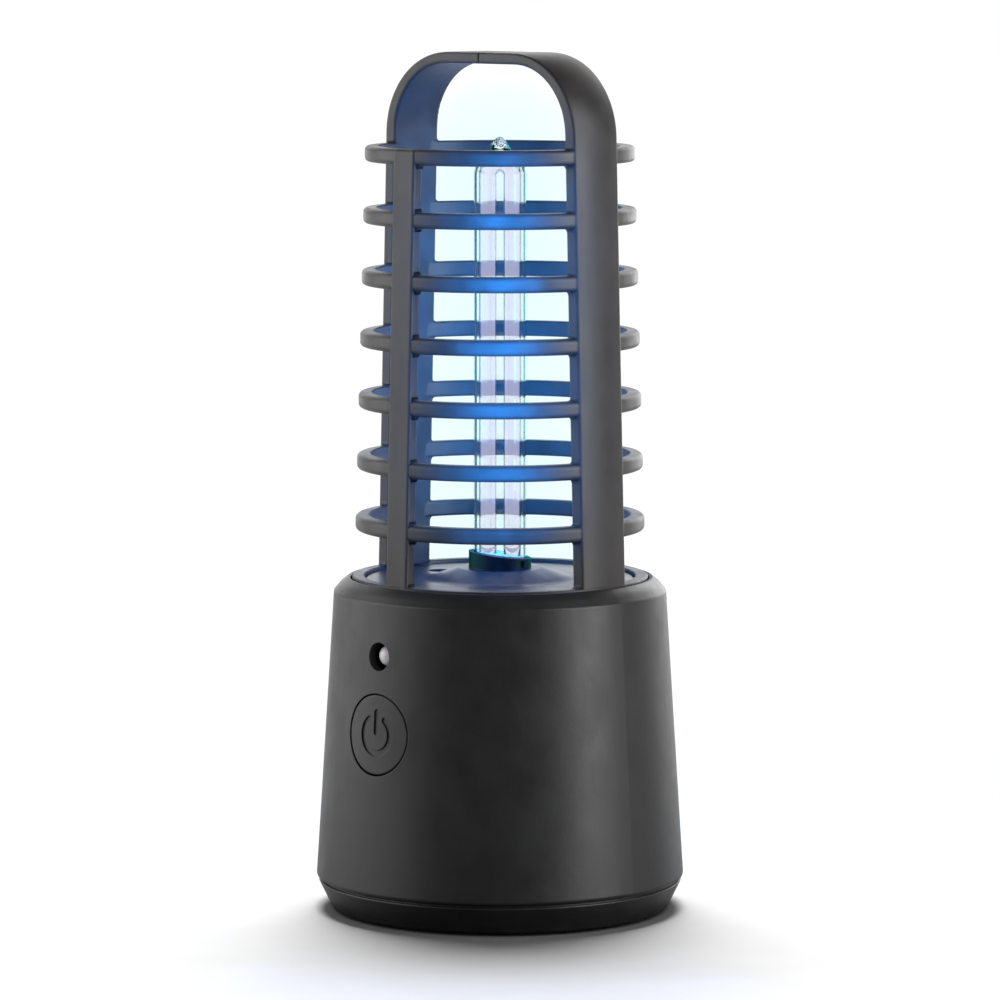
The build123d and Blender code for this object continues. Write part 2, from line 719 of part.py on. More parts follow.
def power_button():
    """Round cap flush with the tapered wall, with a flange behind the wall and a stem."""
    cap = rod_y(BUTTON_R, -BASE_R - PAST, BUTTON_BACK, 0, BUTTON_Z) & button_skin(BUTTON_SUNK)
    rim = cap.edges().filter_by(lambda e: e.center().Y < BUTTON_BACK - 1.5 and e.length > 5)
    cap = fillet(rim, 0.3)
    cap -= power_symbol() - button_skin(BUTTON_SUNK + SYMBOL_DEPTH)
    cap += rod_y(FLANGE_R, BUTTON_BACK - 0.2, BUTTON_BACK - 0.2 + FLANGE_THICK, 0, BUTTON_Z)
    return cap + rod_y(STEM_R, BUTTON_BACK + 0.7, stem_end, 0, BUTTON_Z)


def power_symbol():
    """Cutter for the standby sign: an open ring with a bar through its gap."""
    ring = Circle(SYMBOL_R + SYMBOL_LINE / 2) - Circle(SYMBOL_R - SYMBOL_LINE / 2)
    far = 3 * SYMBOL_R
    spread = far * math.tan(math.radians(SYMBOL_GAP))
    ring -= make_face(Polyline((0, 0), (spread, far), (-spread, far), close=True))
    for x, z in around(SYMBOL_R, (90 - SYMBOL_GAP, 90 + SYMBOL_GAP)):
        ring += Pos(x, z) * Circle(SYMBOL_LINE / 2)
    bar = Pos(0, SYMBOL_BAR / 2) * RectangleRounded(SYMBOL_LINE, SYMBOL_BAR, 0.49 * SYMBOL_LINE)
    return Pos(0, 0, BUTTON_Z) * extrude(Plane.XZ * (ring + bar), BASE_R + 5)


def switch_board():
    half = SWITCH_BOARD_HALF
    board = block((-half, half), (switch_face, SWITCH_BOARD_Y), (SWITCH_BOARD_LOW, SWITCH_BOARD_HIGH))
    for x, z in switch_board_screws_at:
        board -= rod_y(SMALL_SCREW_R + SLIP, -40, -20, x, z)
    for side in (-1, 1):
        board -= rod_y(LED_LEG_R + FIT, -40, -20, side * LED_PITCH / 2, LED_Z)
    return board


def switch_body():
    half = SWITCH_HALF
    body = block((-half, half), (switch_front, switch_face), (BUTTON_Z - half, BUTTON_Z + half))
    body = fillet(body.edges().filter_by(Axis.Y), 0.5)
    return body - rod_y(PLUNGER_R + 0.1, switch_front - PAST, switch_front + 2 * PLUNGER_IN, 0, BUTTON_Z)


def switch_plunger():
    return rod_y(PLUNGER_R, plunger_tip, switch_front + PLUNGER_IN, 0, BUTTON_Z)


def switch_board_screws():
    group = Part()
    for x, z in switch_board_screws_at:
        group += Pos(x, SWITCH_BOARD_Y, z) * Rot(-90, 0, 0) * small_screw(6.0)
    return group


def indicator_led():
    """Five millimetre lamp on the switch board, domed, with a collar and two legs."""
    dome = switch_face - LED_LONG
    body = rod_y(LED_R, switch_face, dome, 0, LED_Z) + Pos(0, dome, LED_Z) * Sphere(LED_R)
    body += rod_y(LED_COLLAR_R, switch_face, switch_face - 1.0, 0, LED_Z)
    for side in (-1, 1):
        body += rod_y(LED_LEG_R, switch_face - 0.5, SWITCH_BOARD_Y + 1.2, side * LED_PITCH / 2, LED_Z)
    return body


# ---- battery and boards -------------------------------------------------------------------------
def battery_cell():
    """Upright lithium cell with its raised positive button."""
    x, y = CELL_AT
    can_top = CELL_FOOT + CELL_LONG - CELL_BUTTON
    can = rod(CELL_R, CELL_FOOT, can_top, x, y)
    can = fillet(can.edges().filter_by(GeomType.CIRCLE), 0.7)
    return can + rod(CELL_BUTTON_R, can_top - 0.1, CELL_FOOT + CELL_LONG, x, y)


def battery_holder():
    """Open trough with end walls that keeps the cell upright."""
    inner = CELL_R + 0.2
    low, high = HOLDER_FOOT + HOLDER_END, HOLDER_TOP - HOLDER_END
    trough = rod(inner + HOLDER_WALL, HOLDER_FOOT, HOLDER_TOP) - rod(inner, low, high)
    trough -= block((-20, -2), (-20, 20), (low, high))
    return Pos(CELL_AT[0], CELL_AT[1], 0) * trough


def battery_contact(low):
    """Spring plate under or over the cell, with a tab that reaches out for its wire."""
    x, y = CELL_AT
    plate = block((x - CONTACT_TAB, x + 6), (y - CONTACT_HALF, y + CONTACT_HALF), (low, low + CONTACT_THICK))
    return fillet(plate.edges().filter_by(Axis.Z), 1.5)


def driver_board():
    board = block((DRIVER_X, DRIVER_X + BOARD), (-DRIVER_HALF, DRIVER_HALF), (DRIVER_LOW, DRIVER_HIGH))
    for y, z in driver_holes:
        board -= rod_x(1.1, -30, 30, y, z)
    return board


def driver_transformer():
    """Small step-up transformer: ferrite frame round a wound bobbin."""
    x, y, z = DRIVER_X + TRANSFORMER_AT[0], TRANSFORMER_AT[1], TRANSFORMER_AT[2]
    core = block((x - 6.5, x + 6.5), (y - 7, y + 7), (z - 3, z + 3))
    body = core + rod(COIL_R, z - COIL_LONG / 2, z + COIL_LONG / 2, x, y)
    for end in (-1, 1):
        middle = z + end * (COIL_LONG + BOBBIN_FLANGE) / 2
        body += rod(BOBBIN_R, middle - BOBBIN_FLANGE / 2, middle + BOBBIN_FLANGE / 2, x, y)
    return body & block((-FAR, DRIVER_X), (-FAR, FAR), (0, HEIGHT))


def driver_capacitors():
    group = Part()
    for y, z in cans_at:
        can = rod_x(CAN_R, DRIVER_X - CAN_LONG, DRIVER_X, y, z)
        group += fillet(can.edges().filter_by(GeomType.CIRCLE), 0.5)
    return group


def driver_transistor():
    """Power transistor on its metal tab, standing off the board on three legs."""
    tab_back, tab_front, case_front = DRIVER_X - 5.5, DRIVER_X - 4.2, DRIVER_X - 1.0
    sides = (TRANSISTOR_Y - TRANSISTOR_HALF, TRANSISTOR_Y + TRANSISTOR_HALF)
    tab = block((tab_back, tab_front), sides, (TRANSISTOR_Z, TRANSISTOR_Z + TAB_TALL))
    tab -= rod_x(1.7, tab_back - PAST, tab_front + PAST, TRANSISTOR_Y, TRANSISTOR_Z + TAB_TALL - 2.5)
    body = tab + block((tab_front, case_front), sides, (TRANSISTOR_Z, TRANSISTOR_Z + TRANSISTOR_TALL))
    leg_foot = TRANSISTOR_Z - 3.5
    for i in (-1, 0, 1):
        leg_sides = (TRANSISTOR_Y + i * LEG_PITCH - 0.4, TRANSISTOR_Y + i * LEG_PITCH + 0.4)
        body += block((DRIVER_X - 2.2, DRIVER_X - 1.6), leg_sides, (leg_foot, TRANSISTOR_Z + 0.2))
        body += block((DRIVER_X - 2.2, DRIVER_X), leg_sides, (leg_foot, leg_foot + 0.8))
    return body


def wire_sockets():
    """Plug-in sockets on the driver board's inner face."""
    group = Part()
    for y, z in socket_places.values():
        sides = (y - SOCKET_HALF, y + SOCKET_HALF)
        group += block((DRIVER_X + BOARD, wire_end_x), sides, (z - SOCKET_RISE, z + SOCKET_RISE))
    return group


def charge_board():
    board = block((-CHARGE_HALF, CHARGE_HALF), (CHARGE_FRONT, CHARGE_BACK), (CHARGE_LOW, charge_top))
    for side in (-1, 1):
        board -= rod(SMALL_SCREW_R + SLIP, 10, 20, side * CHARGE_SCREW_X, CHARGE_SCREW_Y)
    return board


def charge_board_screws():
    group = Part()
    for side in (-1, 1):
        group += Pos(side * CHARGE_SCREW_X, CHARGE_SCREW_Y, charge_top) * small_screw(7)
    return group


def charge_chip():
    """Eight-legged chip on the charge board."""
    half, long, pitch = 2.0, 5.0, 1.27
    front = CHARGE_FRONT + 4.5
    chip = block((-half, half), (front, front + long), (charge_top, charge_top + 1.5))
    for i in range(4):
        y = front + 0.6 + pitch * i
        chip += block((-half - 1, half + 1), (y - 0.2, y + 0.2), (charge_top, charge_top + 0.4))
    return chip


def usb_socket():
    """Micro charging socket: a pressed metal mouth round a flat tongue."""
    low, high = charge_top, charge_top + USB_HIGH
    inner = USB_HALF - USB_WALL
    body = block((-USB_HALF, USB_HALF), (USB_FRONT, USB_BACK), (low, high))
    mouth = block((-inner, inner), (USB_FRONT + 1, USB_BACK + PAST), (low + USB_WALL, high - USB_WALL))
    mouth = chamfer(mouth.edges().filter_by(Axis.Y).sort_by(Axis.Z)[0:2], 0.7)
    tongue_half = 0.5 * USB_HALF
    tongue = block((-tongue_half, tongue_half), (USB_FRONT + 0.8, USB_BACK - 0.8), (USB_Z + 0.1, USB_Z + 0.7))
    return body - mouth + tongue


# ---- wires --------------------------------------------------------------------------------------
def lamp_wires():
    pair = Part()
    for side, (x, y) in zip((-1, 1), tube_feet()):
        z = socket_places["lamp"][1] + side
        pair += wire([(x, y, LEAD_FOOT), (x, y, z), (wire_end_x, y, z)], 1.2)
    return pair


def battery_wires():
    y, z = socket_places["battery"]
    tab_x, tab_y = CELL_AT[0] - CONTACT_TAB - FIT, CELL_AT[1]
    low_z, high_z = 4.0, 69.3
    down_x = tab_x - 1.7
    low = wire([
        (tab_x, tab_y, low_z),
        (7, tab_y, low_z),
        (2, y - 1.2, 11),
        (2, y - 1.2, z - 1),
        (wire_end_x, y - 1.2, z - 1),
    ], 1.5)
    high = wire([
        (tab_x, tab_y, high_z),
        (down_x, tab_y, high_z),
        (down_x, tab_y, 54),
        (5, y + 1.2, z + 1),
        (wire_end_x, y + 1.2, z + 1),
    ], 1.2)
    return low + high


def switch_wires():
    y, z = socket_places["switch"]
    group = Part()
    for i in (-1, 0, 1):
        x, y_wire = 3 + 1.6 * i, y + 1.8 * i
        group += wire([(x, SWITCH_BOARD_Y, z), (x, y_wire, z), (wire_end_x, y_wire, z)], 2)
    return group


def charge_wires():
    y, z = socket_places["charge"]
    start_y, start_z = CHARGE_FRONT - 0.1, CHARGE_LOW + CHARGE_BOARD / 2
    pair = Part()
    for side in (-1, 1):
        x, y_wire, z_wire = 2 * side, y + 1.5 * side, z + 0.2 + side
        pair += wire([(x, start_y, start_z), (x, y_wire, z_wire), (wire_end_x, y_wire, z_wire)], 1.1)
    return pair


# ---- write one file per piece -------------------------------------------------------------------
def main():
    right = guard_half()
    pieces = {
        "base_shell": base_shell(),
        "bottom_cover": bottom_cover(),
        "rubber_feet": rubber_feet(),
        "cover_screws": cover_screws(),
        "deck_plate": deck_plate(),
        "deck_screw": deck_screw(),
        "guard_left_half": Rot(0, 0, 180) * right,
        "guard_right_half": right,
        "lamp_holder": lamp_holder(),
        "lamp_holder_screws": lamp_holder_screws(),
        "lamp_sleeve": lamp_sleeve(),
        "lamp_cement": lamp_cement(),
        "lamp_envelope": lamp_envelope(),
        "lamp_tube": lamp_tube(),
        "lamp_leads": lamp_leads(),
        "power_button": power_button(),
        "switch_board": switch_board(),
        "switch_body": switch_body(),
        "switch_plunger": switch_plunger(),
        "switch_board_screws": switch_board_screws(),
        "indicator_led": indicator_led(),
        "battery_cell": battery_cell(),
        "battery_holder": battery_holder(),
        "battery_contact_low": battery_contact(HOLDER_FOOT + HOLDER_END + FIT),
        "battery_contact_high": battery_contact(CELL_FOOT + CELL_LONG + 0.02),
        "driver_board": driver_board(),
        "driver_transformer": driver_transformer(),
        "driver_capacitors": driver_capacitors(),
        "driver_transistor": driver_transistor(),
        "wire_sockets": wire_sockets(),
        "charge_board": charge_board(),
        "charge_board_screws": charge_board_screws(),
        "charge_chip": charge_chip(),
        "usb_socket": usb_socket(),
        "lamp_wires": lamp_wires(),
        "battery_wires": battery_wires(),
        "switch_wires": switch_wires(),
        "charge_wires": charge_wires(),
    }
    os.makedirs("parts", exist_ok=True)
    for node, shape in pieces.items():
        export_step(shape, f"parts/{node}.step")


main()
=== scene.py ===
import math

import bpy
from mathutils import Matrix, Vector, noise


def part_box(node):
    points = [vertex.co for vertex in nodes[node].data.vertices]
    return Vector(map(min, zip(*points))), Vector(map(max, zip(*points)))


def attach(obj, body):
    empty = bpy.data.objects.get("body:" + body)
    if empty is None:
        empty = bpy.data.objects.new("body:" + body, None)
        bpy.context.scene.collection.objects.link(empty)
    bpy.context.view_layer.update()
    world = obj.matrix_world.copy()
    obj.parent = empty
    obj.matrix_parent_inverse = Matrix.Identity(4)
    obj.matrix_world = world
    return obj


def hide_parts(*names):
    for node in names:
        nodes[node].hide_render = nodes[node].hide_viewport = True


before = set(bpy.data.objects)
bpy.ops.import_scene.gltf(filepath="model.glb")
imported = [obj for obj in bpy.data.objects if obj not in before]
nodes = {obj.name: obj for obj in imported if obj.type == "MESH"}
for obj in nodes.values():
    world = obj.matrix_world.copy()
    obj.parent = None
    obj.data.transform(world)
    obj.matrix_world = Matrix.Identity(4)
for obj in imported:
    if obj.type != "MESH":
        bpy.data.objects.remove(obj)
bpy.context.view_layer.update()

MM = 0.001


# ---- small tools --------------------------------------------------------------------------------
def linear(hex_colour):
    """sRGB hex colour to the linear values that a shader takes."""
    parts = [int(hex_colour[i:i + 2], 16) / 255 for i in (1, 3, 5)]
    return [p / 12.92 if p <= 0.04045 else ((p + 0.055) / 1.055) ** 2.4 for p in parts] + [1.0]


def add(tree, kind, settings, links=()):
    """One node. A setting is a property, an input, or a ramp's stops, and a link comes from an output
    or from a node's first output."""
    node = tree.nodes.new(kind)
    for key, value in settings.items():
        if key == "stops":
            for stop, (position, colour) in zip(node.color_ramp.elements, value):
                stop.position, stop.color = position, linear(colour)
        elif isinstance(key, str) and hasattr(node, key):
            setattr(node, key, value)
        else:
            node.inputs[key].default_value = value
    for key, source in dict(links).items():
        source = source.outputs[0] if isinstance(source, bpy.types.Node) else source
        tree.links.new(source, node.inputs[key])
    return node


def new_material(name):
    """Empty material and its tree, with the object's own coordinates in metres."""
    material = bpy.data.materials.new(name)
    material.use_nodes = True
    tree = material.node_tree
    tree.nodes.clear()
    place = add(tree, "ShaderNodeTexCoord", {}).outputs["Object"]
    output = add(tree, "ShaderNodeOutputMaterial", {})
    return material, tree, place, output


def per_metre(size_mm):
    """Texture scale that gives a pattern of that size."""
    return 1.0 / (size_mm * MM)


def cells(size_mm, detail=2.0, rough=0.5):
    """Settings of a cloudy pattern with cells of that size."""
    return {"Scale": per_metre(size_mm), "Detail": detail, "Roughness": rough}


def shades(dark, light, low=0.35, high=0.65):
    """Settings of a ramp from one sRGB colour to another."""
    return {"stops": [(low, dark), (high, light)]}


def span(low, high, start=0.0, end=1.0):
    """Settings that map a stretch of a factor to a span of values."""
    return {"From Min": start, "From Max": end, "To Min": low, "To Max": high}


def relief(high_mm, strength=0.5):
    """Settings of a surface relief of that height."""
    return {"Strength": strength, "Distance": high_mm * MM}


def finish_with(tree, output, settings, links):
    """Closes a material with its one surface shader."""
    shader = add(tree, "ShaderNodeBsdfPrincipled", settings, links)
    tree.links.new(shader.outputs["BSDF"], output.inputs["Surface"])


def assign(material, *names):
    for name in names:
        mesh = nodes[name].data
        mesh.materials.clear()
        mesh.materials.append(material)


# ---- plastics and rubber ------------------------------------------------------------------------
def moulded_abs(name, dark, light, rough_low, rough_high, edge_mm):
    """Acrylonitrile butadiene styrene, injection moulded in a spark-eroded tool: an even satin black
    with a fine pebbled grain, cloudy changes of gloss from the flow of the melt, faint upright
    draw marks, and soft edges."""
    material, tree, place, output = new_material(name)
    # The real grain is about 0.1 mm; it is drawn coarser, so that it just shows.
    grain = add(tree, "ShaderNodeTexNoise", cells(0.45), {"Vector": place})
    flow = add(tree, "ShaderNodeTexNoise", cells(9, 3.0, 0.6), {"Vector": place})
    upright = add(tree, "ShaderNodeMapping", {"Scale": (1.0, 1.0, 0.06)}, {"Vector": place})
    drag = add(tree, "ShaderNodeTexNoise", cells(0.9), {"Vector": upright})
    tone = add(tree, "ShaderNodeValToRGB", shades(dark, light), {"Fac": flow})
    gloss = add(tree, "ShaderNodeMath", {"operation": "MULTIPLY_ADD", 1: 0.35}, {0: drag, 2: flow})
    rough = add(tree, "ShaderNodeMapRange", span(rough_low, rough_high, 0.45, 0.9), {"Value": gloss})
    edge = add(tree, "ShaderNodeBevel", {"samples": 4, "Radius": edge_mm * MM})
    normal = add(tree, "ShaderNodeBump", relief(0.03), {"Height": grain, "Normal": edge})
    finish_with(tree, output, {"IOR": 1.53}, {"Base Color": tone, "Roughness": rough, "Normal": normal})
    return material


def black_rubber():
    """Moulded nitrile rubber foot: a matt near-black with a dusty bloom and a coarse grain."""
    material, tree, place, output = new_material("black_nitrile_rubber")
    bloom = add(tree, "ShaderNodeTexNoise", cells(3, 4.0), {"Vector": place})
    grain = add(tree, "ShaderNodeTexNoise", cells(0.4), {"Vector": place})
    tone = add(tree, "ShaderNodeValToRGB", shades("#151515", "#242322"), {"Fac": bloom})
    normal = add(tree, "ShaderNodeBump", relief(0.06), {"Height": grain})
    finish_with(tree, output, {"IOR": 1.52, "Roughness": 0.85}, {"Base Color": tone, "Normal": normal})
    return material


def dark_silicone():
    """Cured silicone collar, cast and cut: a dull blue-black that lets a little light in, with a
    faintly waxy, uneven skin."""
    material, tree, place, output = new_material("dark_silicone")
    cloud = add(tree, "ShaderNodeTexNoise", cells(1.6, 3.0), {"Vector": place})
    skin = add(tree, "ShaderNodeTexNoise", cells(0.7, 3.0), {"Vector": place})
    tone = add(tree, "ShaderNodeValToRGB", shades("#0A0D12", "#12171E"), {"Fac": cloud})
    rough = add(tree, "ShaderNodeMapRange", span(0.34, 0.5), {"Value": cloud})
    edge = add(tree, "ShaderNodeBevel", {"samples": 4, "Radius": 0.15 * MM})
    normal = add(tree, "ShaderNodeBump", relief(0.08, 0.6), {"Height": skin, "Normal": edge})
    settings = {"IOR": 1.41, "Subsurface Weight": 0.15, "Subsurface Scale": 0.6 * MM}
    finish_with(tree, output, settings, {"Base Color": tone, "Roughness": rough, "Normal": normal})
    return material


def moulded_nylon(name, dark, light):
    """Polyamide 66, injection moulded: a slightly waxy, even colour with a soft sheen."""
    material, tree, place, output = new_material(name)
    cloud = add(tree, "ShaderNodeTexNoise", cells(2.5, 3.0), {"Vector": place})
    grain = add(tree, "ShaderNodeTexNoise", cells(0.3), {"Vector": place})
    tone = add(tree, "ShaderNodeValToRGB", shades(dark, light), {"Fac": cloud})
    rough = add(tree, "ShaderNodeMapRange", span(0.42, 0.55), {"Value": cloud})
    edge = add(tree, "ShaderNodeBevel", {"samples": 4, "Radius": 0.1 * MM})
    normal = add(tree, "ShaderNodeBump", relief(0.02), {"Height": grain, "Normal": edge})
    finish_with(tree, output, {"IOR": 1.53}, {"Base Color": tone, "Roughness": rough, "Normal": normal})
    return material


def led_resin():
    """Milky epoxy that a diffused indicator is cast in: a grey-white body that scatters light under
    a glossy skin, slightly uneven in its depth."""
    material, tree, place, output = new_material("milky_epoxy")
    cloud = add(tree, "ShaderNodeTexNoise", cells(0.8, 3.0), {"Vector": place})
    tone = add(tree, "ShaderNodeValToRGB", shades("#EEEEF0", "#F8F8FA"), {"Fac": cloud})
    settings = {"IOR": 1.55, "Roughness": 0.24, "Subsurface Weight": 0.3, "Subsurface Scale": 0.8 * MM}
    finish_with(tree, output, settings, {"Base Color": tone})
    return material


def insulation(name, dark, light):
    """Extruded silicone wire insulation: one colour, softly shiny, with faint drag lines."""
    material, tree, place, output = new_material(name)
    drag = add(tree, "ShaderNodeTexNoise", cells(0.5, 3.0), {"Vector": place})
    tone = add(tree, "ShaderNodeValToRGB", shades(dark, light), {"Fac": drag})
    rough = add(tree, "ShaderNodeMapRange", span(0.38, 0.5), {"Value": drag})
    finish_with(tree, output, {"IOR": 1.42}, {"Base Color": tone, "Roughness": rough})
    return material


def shrink_wrap():
    """Thin PVC sleeve shrunk over the cell: a glossy blue that puckers slightly, and bare nickel
    plate on the raised terminal."""
    material, tree, place, output = new_material("pvc_shrink_wrap")
    upright = add(tree, "ShaderNodeMapping", {"Scale": (1.0, 1.0, 0.2)}, {"Vector": place})
    pucker = add(tree, "ShaderNodeTexNoise", cells(1.5, 3.0), {"Vector": upright})
    wrap = add(tree, "ShaderNodeValToRGB", shades("#1C5C93", "#2A76B3"), {"Fac": pucker})
    metal = add(tree, "ShaderNodeValToRGB", shades("#C9C5BB", "#DAD7CE"), {"Fac": pucker})
    height = add(tree, "ShaderNodeSeparateXYZ", {}, {"Vector": place}).outputs["Z"]
    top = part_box("battery_cell")[1][2]
    above = span(0.0, 1.0, top - 1.3 * MM, top - 1.2 * MM)
    terminal = add(tree, "ShaderNodeMapRange", above, {"Value": height})
    tone = add(tree, "ShaderNodeMix", {"data_type": "RGBA"}, {0: terminal, 6: wrap, 7: metal}).outputs[2]
    normal = add(tree, "ShaderNodeBump", relief(0.05, 0.4), {"Height": pucker})
    links = {"Base Color": tone, "Metallic": terminal, "Normal": normal}
    finish_with(tree, output, {"Roughness": 0.28}, links)
    return material


# ---- metals -------------------------------------------------------------------------------------
def drawn_metal(name, dark, light, rough_low, rough_high, mark_mm):
    """Plated or drawn metal: a bright grey, clouded by handling, with fine marks from the die."""
    material, tree, place, output = new_material(name)
    cloud = add(tree, "ShaderNodeTexNoise", cells(2.0, 3.0), {"Vector": place})
    upright = add(tree, "ShaderNodeMapping", {"Scale": (1.0, 1.0, 0.1)}, {"Vector": place})
    marks = add(tree, "ShaderNodeTexNoise", cells(mark_mm), {"Vector": upright})
    tone = add(tree, "ShaderNodeValToRGB", shades(dark, light), {"Fac": cloud})
    rough = add(tree, "ShaderNodeMapRange", span(rough_low, rough_high), {"Value": marks})
    normal = add(tree, "ShaderNodeBump", relief(0.01, 0.4), {"Height": marks})
    finish_with(tree, output, {"Metallic": 1.0}, {"Base Color": tone, "Roughness": rough, "Normal": normal})
    return material


def capacitor_can():
    """Aluminium can in a black sleeve: satin sleeve down the side, bright pressed top."""
    material, tree, place, output = new_material("sleeved_aluminium")
    marks = add(tree, "ShaderNodeTexNoise", cells(0.6, 3.0), {"Vector": place})
    sleeve = add(tree, "ShaderNodeValToRGB", shades("#15171B", "#1E2126"), {"Fac": marks})
    metal = add(tree, "ShaderNodeValToRGB", shades("#C2C4C7", "#D6D8DA"), {"Fac": marks})
    across = add(tree, "ShaderNodeSeparateXYZ", {}, {"Vector": place}).outputs["X"]
    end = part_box("driver_capacitors")[0][0]
    near_end = span(1.0, 0.0, end + 0.2 * MM, end + 0.3 * MM)
    top = add(tree, "ShaderNodeMapRange", near_end, {"Value": across})
    tone = add(tree, "ShaderNodeMix", {"data_type": "RGBA"}, {0: top, 6: sleeve, 7: metal}).outputs[2]
    finish_with(tree, output, {"Roughness": 0.36}, {"Base Color": tone, "Metallic": top})
    return material


def transistor_body():
    """Power transistor: matt moulded epoxy over a tinned copper tab and legs."""
    material, tree, place, output = new_material("epoxy_and_tinned_copper")
    marks = add(tree, "ShaderNodeTexNoise", cells(0.5, 3.0), {"Vector": place})
    epoxy = add(tree, "ShaderNodeValToRGB", shades("#141414", "#1F1F20"), {"Fac": marks})
    tin = add(tree, "ShaderNodeValToRGB", shades("#B7B8BA", "#CBCCCE"), {"Fac": marks})
    parts = add(tree, "ShaderNodeSeparateXYZ", {}, {"Vector": place})
    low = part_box("driver_transistor")[0]
    legs = span(1.0, 0.0, low[2] + 3.4 * MM, low[2] + 3.5 * MM)
    tab = span(1.0, 0.0, low[0] + 1.2 * MM, low[0] + 1.3 * MM)
    leg_top = add(tree, "ShaderNodeMapRange", legs, {"Value": parts.outputs["Z"]})
    tab_face = add(tree, "ShaderNodeMapRange", tab, {"Value": parts.outputs["X"]})
    bare = add(tree, "ShaderNodeMath", {"operation": "MAXIMUM"}, {0: leg_top, 1: tab_face})
    tone = add(tree, "ShaderNodeMix", {"data_type": "RGBA"}, {0: bare, 6: epoxy, 7: tin}).outputs[2]
    rough = add(tree, "ShaderNodeMapRange", span(0.35, 0.55), {"Value": marks})
    finish_with(tree, output, {}, {"Base Color": tone, "Metallic": bare, "Roughness": rough})
    return material


# ---- boards, ferrite and cement -----------------------------------------------------------------
def circuit_board():
    """Glass-epoxy laminate under green solder mask: the weave shows faintly, and copper tracks lie
    a shade lighter under the gloss."""
    material, tree, place, output = new_material("solder_masked_laminate")
    weave = add(tree, "ShaderNodeTexWave", {"Scale": per_metre(3), "Distortion": 0.6}, {"Vector": place})
    face = add(tree, "ShaderNodeMapping", {"Rotation": (0.0, math.pi / 2, 0.0)}, {"Vector": place})
    pattern = {"Scale": per_metre(12), "Mortar Size": 0.05, "Row Height": 0.4}
    tracks = add(tree, "ShaderNodeTexBrick", pattern, {"Vector": face}).outputs["Fac"]
    threads = weave.outputs["Fac"]
    mask = add(tree, "ShaderNodeValToRGB", shades("#0C3A22", "#0F4528", 0.2, 0.8), {"Fac": threads})
    copper = add(tree, "ShaderNodeValToRGB", shades("#1D6238", "#22703F", 0.2, 0.8), {"Fac": threads})
    tone = add(tree, "ShaderNodeMix", {"data_type": "RGBA"}, {0: tracks, 6: mask, 7: copper}).outputs[2]
    normal = add(tree, "ShaderNodeBump", relief(0.035), {"Height": tracks})
    finish_with(tree, output, {"IOR": 1.55, "Roughness": 0.3}, {"Base Color": tone, "Normal": normal})
    return material


def sintered_ferrite():
    """Sintered ferrite core round a taped coil: dense charcoal grey with a dry, sandy surface."""
    material, tree, place, output = new_material("sintered_ferrite")
    sand = add(tree, "ShaderNodeTexNoise", cells(0.25, 4.0), {"Vector": place})
    tone = add(tree, "ShaderNodeValToRGB", shades("#26262A", "#3B3B3F"), {"Fac": sand})
    edge = add(tree, "ShaderNodeBevel", {"samples": 4, "Radius": 0.2 * MM})
    normal = add(tree, "ShaderNodeBump", relief(0.05, 0.6), {"Height": sand, "Normal": edge})
    finish_with(tree, output, {"Roughness": 0.62}, {"Base Color": tone, "Normal": normal})
    return material


def cement_plug():
    """Mineral lamp cement, poured and baked: a rough brown-grey with paler grains and pits."""
    material, tree, place, output = new_material("baked_lamp_cement")
    grains = add(tree, "ShaderNodeTexNoise", cells(0.7, 5.0, 0.7), {"Vector": place})
    pits = add(tree, "ShaderNodeTexVoronoi", {"Scale": per_metre(0.9)}, {"Vector": place})
    tone = add(tree, "ShaderNodeValToRGB", shades("#4A403A", "#9A9088", 0.3, 0.75), {"Fac": grains})
    normal = add(tree, "ShaderNodeBump", relief(0.25, 0.8), {"Height": pits})
    finish_with(tree, output, {"Roughness": 0.8}, {"Base Color": tone, "Normal": normal})
    return material


# ---- lamp glass and glow ------------------------------------------------------------------------
def clear_glass(name, tint):
    """Borosilicate lamp glass, drawn as tube: clear, thin and bright at its edges."""
    material, tree, place, output = new_material(name)
    upright = add(tree, "ShaderNodeMapping", {"Scale": (1.0, 1.0, 0.05)}, {"Vector": place})
    ripple = add(tree, "ShaderNodeTexNoise", cells(1.2), {"Vector": upright})
    normal = add(tree, "ShaderNodeBump", relief(0.02, 0.3), {"Height": ripple})
    settings = {"Base Color": linear(tint), "IOR": 1.47, "Roughness": 0.0, "Transmission Weight": 1.0}
    finish_with(tree, output, settings, {"Normal": normal})
    return material


def lit_gas():
    """The discharge seen through its thin phosphor: a pale lavender-white glow, thin enough to see
    through, slightly uneven along its length."""
    material, tree, place, output = new_material("lit_phosphor_glow")
    upright = add(tree, "ShaderNodeMapping", {"Scale": (1.0, 1.0, 0.25)}, {"Vector": place})
    cloud = add(tree, "ShaderNodeTexNoise", cells(3.0), {"Vector": upright})
    glow = add(tree, "ShaderNodeValToRGB", shades("#FAE6F2", "#FFF0FA"), {"Fac": cloud})
    settings = {"Base Color": linear("#101014"), "Roughness": 0.5, "Specular IOR Level": 0.0, "Alpha": 0.26,
                "Emission Strength": 1.0}
    finish_with(tree, output, settings, {"Emission Color": glow})
    return material


